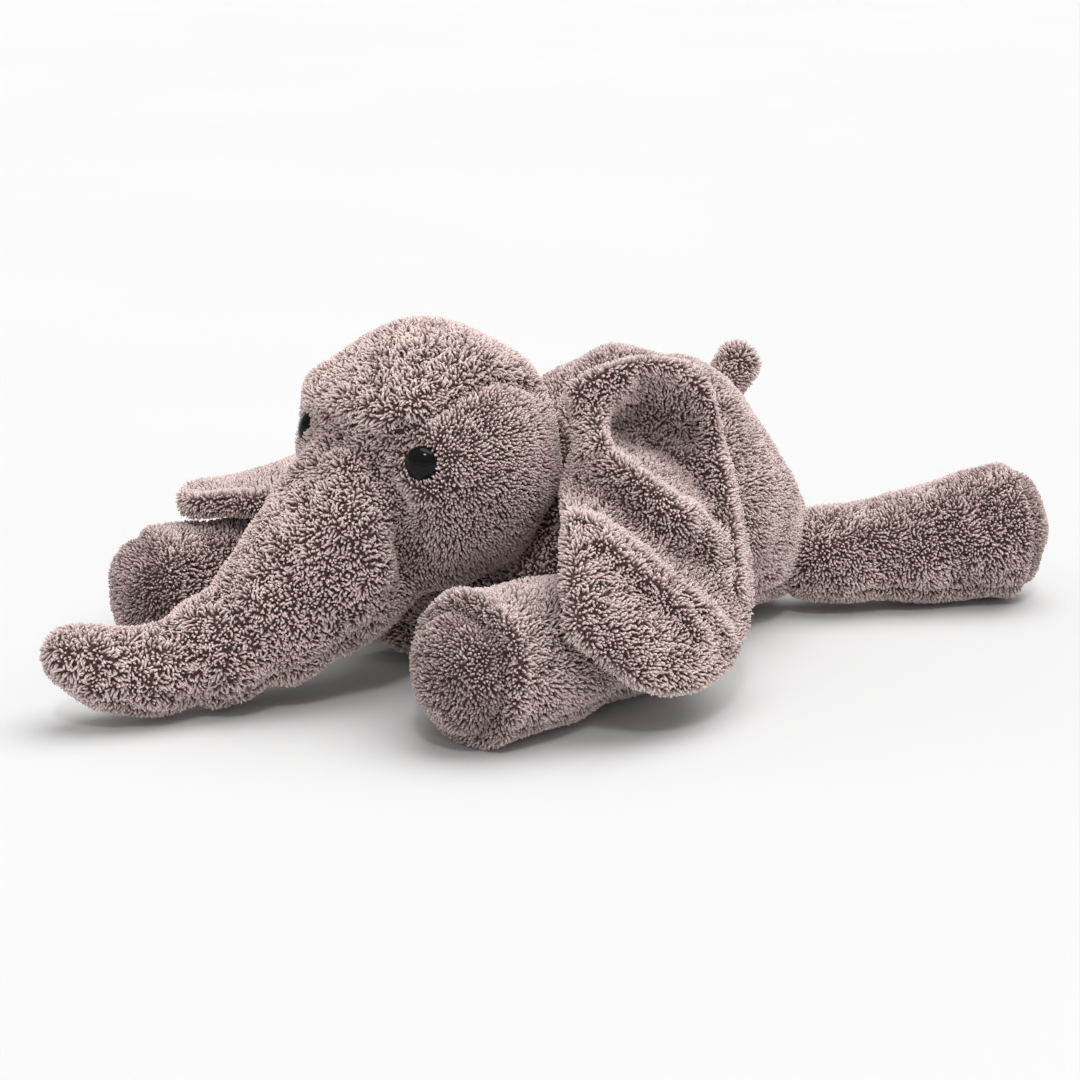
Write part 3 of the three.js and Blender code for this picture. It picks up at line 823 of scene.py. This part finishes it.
def ear_skin(side):
    s = solid_form([f"ear_{side}_outer", f"ear_{side}_inner"], voxel=1.6 * MM)
    s.relax(6)
    s.push(-1.6 * MM)
    s.relax(2)
    if side == "right":  # lies lower on its leg than the CAD ear
        under = 0.5 * np.maximum(-s.normals[:, 2], 0)
        s.verts[:, 2] -= 2.7 * MM * smoothstep(-60 * MM, -100 * MM, s.verts[:, 1]) * (1 + under)
    else:  # shorter at its lower end
        s.verts[:, 2] += 2.5 * MM * smoothstep(42 * MM, 20 * MM, s.verts[:, 2])
    s.refresh()
    folds, way = EARS[side]
    for path, height, width, steep in folds:
        # Painted shade in the hollows, where the height is negative, and painted light on the raised folds.
        tone = 0.055 * min(height, 0) + 0.03 * max(height, 0)
        raise_along(s, path, height, width, way, tone=tone, steep=steep)
        dist, _ = distance_to_path(s.verts, np.array(path) * MM)
        s.length += 0.02 * np.minimum(height, 0) * bump(dist, width * MM)
    s.relax(1)
    return s


skins = {"torso": torso_skin(), "head": head_skin(), "tail": tail_skin()}
for leg in LEGS:
    skins[leg] = leg_skin(leg)
for side in ("left", "right"):
    skins[f"ear_{side}"] = ear_skin(side)
trees = {name: (search_tree(s.verts), s) for name, s in skins.items()}


def others(*names):
    return [trees[n] for n in names]


def ride_all(pieces, body):
    for p in pieces:
        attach(p, body)


def blend_all(pieces):
    for p in pieces:
        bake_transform(p)


# Torso
torso = skin_object("torso_skin", skins["torso"])
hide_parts(*TORSO_NODES)
pile = grow_pile("torso", skins["torso"], SEED + 1, others("head", *LEGS, "tail"))
ride_all([torso, *pile], "torso")

# Head and trunk, cut across the middle of each stretch between two joints
bends = [np.array(joint(n)["pos_m"], float) for n in ("trunk_swing", "trunk_lift", "trunk_curl")]
trunk_line = [centre("trunk_root_cover"), *bends, centre("trunk_tip_cover")]
bend_way = [unit(trunk_line[i + 1] - trunk_line[i - 1]) for i in (1, 2, 3)]
cuts = [((bends[i] + bends[i + 1]) / 2, unit(bends[i + 1] - bends[i])) for i in (0, 1)]


def trunk_part(p):
    """0 from the head to the first cut, 1 to the second, 2 beyond it."""
    return sum(((p - at) @ way > 0).astype(int) for at, way in cuts)


# Name, the two bodies that it lies between, and the CAD nodes that it stands for
TRUNK_PARTS = [
    ("head", "head", "trunk_middle", [*HEAD_NODES, "trunk_middle_cover", "trunk_middle_stuffing"]),
    ("trunk_bend", "trunk_middle", "trunk_fore", ["trunk_fore_cover", "trunk_fore_stuffing"]),
    ("trunk_end", "trunk_fore", "trunk_tip", ["trunk_tip_cover", "trunk_tip_stuffing"]),
]
whole = skins["head"]
face_part = trunk_part(whole.verts[whole.quads].mean(1))
for i, (name, a, b, nodes) in enumerate(TRUNK_PARTS):
    part = whole.part(face_part == i)
    skin = skin_object(f"{name}_skin", part)
    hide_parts(*nodes)
    pile = grow_pile(name, part, SEED + 10 + i, others("torso", "ear_left", "ear_right"))
    reach = bend_way[i] * HALF_BEND
    blend_all([skin, *pile])

# Neck: a soft roll in the seam between head and torso
collar = hull_form(["neck_collar"])
neck = skin_object("neck_skin", collar)
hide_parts("neck_collar")
pile = grow_pile("neck", collar, SEED + 50, others("torso", "head"))
ride_all([neck, *pile], "neck")

# Legs
for i, leg in enumerate(LEGS):
    skin = skin_object(f"{leg}_skin", skins[leg])
    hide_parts(f"{leg}_cover", f"{leg}_stuffing", f"{leg}_sole")
    pile = grow_pile(leg, skins[leg], SEED + 20 + i, others("torso", "head"))
    blend_all([skin, *pile])

# Tail
tail = skin_object("tail_skin", skins["tail"])
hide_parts("tail_cover", "tail_stuffing")
pile = grow_pile("tail", skins["tail"], SEED + 30, others("torso"))
ride_all([tail, *pile], "tail")

# Ears
for i, side in enumerate(("left", "right")):
    ear = skins[f"ear_{side}"]
    skin = skin_object(f"ear_{side}_skin", ear)
    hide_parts(f"ear_{side}_outer", f"ear_{side}_inner")
    pile = grow_pile(f"ear_{side}", ear, SEED + 40 + i, others("head"))
    blend_all([skin, *pile])

# ---------------------------------------------------------------- eyes


def eye(side):
    """A glossy dome with a rounded rim, set a little into the pile."""
    base, out = eye_axis(side)
    across = unit(np.cross(out, [0, 0, 1]))
    up = np.cross(across, out)
    rows, turns = 18, 48
    angle = np.linspace(0, math.pi / 2, rows)
    radius = EYE_RADIUS * np.cos(angle) ** 0.85
    height = EYE_DOME * np.sin(angle)
    radius = np.concatenate([[EYE_RADIUS * 0.86, EYE_RADIUS * 0.985], radius[:-1]])
    height = np.concatenate([[-EYE_FOOT, -0.7 * MM], height[:-1]])
    around = np.linspace(0, 2 * math.pi, turns, endpoint=False)
    ring = np.cos(around)[:, None] * across + np.sin(around)[:, None] * up
    verts = np.concatenate([base + ring * r + out * h for r, h in zip(radius, height)])
    verts = np.vstack([verts, base + out * EYE_DOME, base - out * EYE_FOOT])
    last = len(radius) - 1
    quads, k, k2 = ring_quads(len(radius), turns)
    top = np.stack([last * turns + k, last * turns + k2, np.full(turns, len(verts) - 2)], 1)
    foot = np.stack([k2, k, np.full(turns, len(verts) - 1)], 1)
    obj = mesh_object(f"eye_{side}_dome", verts, [quads, np.vstack([top, foot])])
    obj.data.materials.append(GLOSS)
    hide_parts(f"eye_{side}", f"eye_{side}_washer")
    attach(obj, "head")


GLOSS, *_ = patterned_material(
    "eye_gloss",
    ("ShaderNodeTexNoise", {"Scale": 260, "Detail": 2}),
    (0.3, (0.002, 0.002, 0.0025)),
    (0.8, (0.005, 0.0045, 0.005)),
    Roughness=0.11,
    IOR=1.29,
)
for side in ("left", "right"):
    eye(side)

# ---------------------------------------------------------------- care label

satin, *_ = patterned_material(
    "label_satin",
    ("ShaderNodeTexWave", {"Scale": 1500, "Distortion": 0.4}),
    (0.2, (0.62, 0.61, 0.59)),
    (0.8, (0.83, 0.82, 0.8)),
    Roughness=0.42,
    Sheen_Weight=0.2,
)
frame["nodes"]["care_label"].data.materials.clear()
frame["nodes"]["care_label"].data.materials.append(satin)

# ---------------------------------------------------------------- floor, light and camera

TARGET = Vector((0.034, -0.072, 0.0525))
AZIMUTH, ELEVATION, DISTANCE = 52, 15.5, 1.05

# A round floor that sweeps up to a low wall far away
flat, bend, turns = 3.2, 1.3, 96  # radius of its flat part, radius of the bend, corners all round
climb = np.linspace(0, math.pi / 2, 14)
reach = np.concatenate([[0.6, 1.5, 2.4], flat + bend * np.sin(climb)])
height = np.concatenate([[0, 0, 0], bend * (1 - np.cos(climb))])
around = np.linspace(0, 2 * math.pi, turns, endpoint=False)
verts = np.concatenate(
    [np.stack([r * np.cos(around), r * np.sin(around), np.full(turns, h)], 1) for r, h in zip(reach, height)]
)
quads, k, k2 = ring_quads(len(reach), turns)
middle = np.stack([k, k2, np.full(turns, len(verts))], 1)
floor = mesh_object("floor", np.vstack([verts, [0, 0, 0]]), [quads[:, [0, 3, 2, 1]], middle])
paint, *_ = patterned_material(
    "floor_paint",
    ("ShaderNodeTexNoise", {"Scale": 3, "Detail": 2}),
    (0.3, (0.71, 0.71, 0.71)),
    (0.7, (0.73, 0.73, 0.73)),
    Roughness=0.9,
    Specular_IOR_Level=0.1,
)
floor.data.materials.append(paint)


def towards(azimuth, elevation):
    az, el = math.radians(azimuth), math.radians(elevation)
    return Vector((math.sin(az) * math.cos(el), -math.cos(az) * math.cos(el), math.sin(el)))


def sun(name, azimuth, elevation, angle, power):
    """A broad soft lamp. Angles are in degrees; the azimuth turns from the toy's face towards its left."""
    lamp = bpy.data.lights.new(name, "SUN")
    lamp.angle, lamp.energy = math.radians(angle), power
    obj = bpy.data.objects.new(name, lamp)
    obj.rotation_mode = "QUATERNION"
    obj.rotation_quaternion = towards(azimuth, elevation).to_track_quat("Z", "Y")
    bpy.context.collection.objects.link(obj)


sun("key", 52, 51, 7.5, 0.63)
sun("overhead", 160, 75, 60, 2.2)
world = bpy.data.worlds.new("studio")
bpy.context.scene.world = world
world.use_nodes = True
world.node_tree.nodes["Background"].inputs["Color"].default_value = (1, 1, 1, 1)
world.node_tree.nodes["Background"].inputs["Strength"].default_value = 0.5
bpy.context.scene.view_settings.view_transform = "Standard"

lens = bpy.data.cameras.new("camera")
lens.lens, lens.sensor_width = 100, 36
camera = bpy.data.objects.new("camera", lens)
back = towards(AZIMUTH, ELEVATION)
camera.location = TARGET + back * DISTANCE
camera.rotation_mode = "QUATERNION"
camera.rotation_quaternion = (-back).to_track_quat("-Z", "Y")
bpy.context.collection.objects.link(camera)
bpy.context.scene.camera = camera
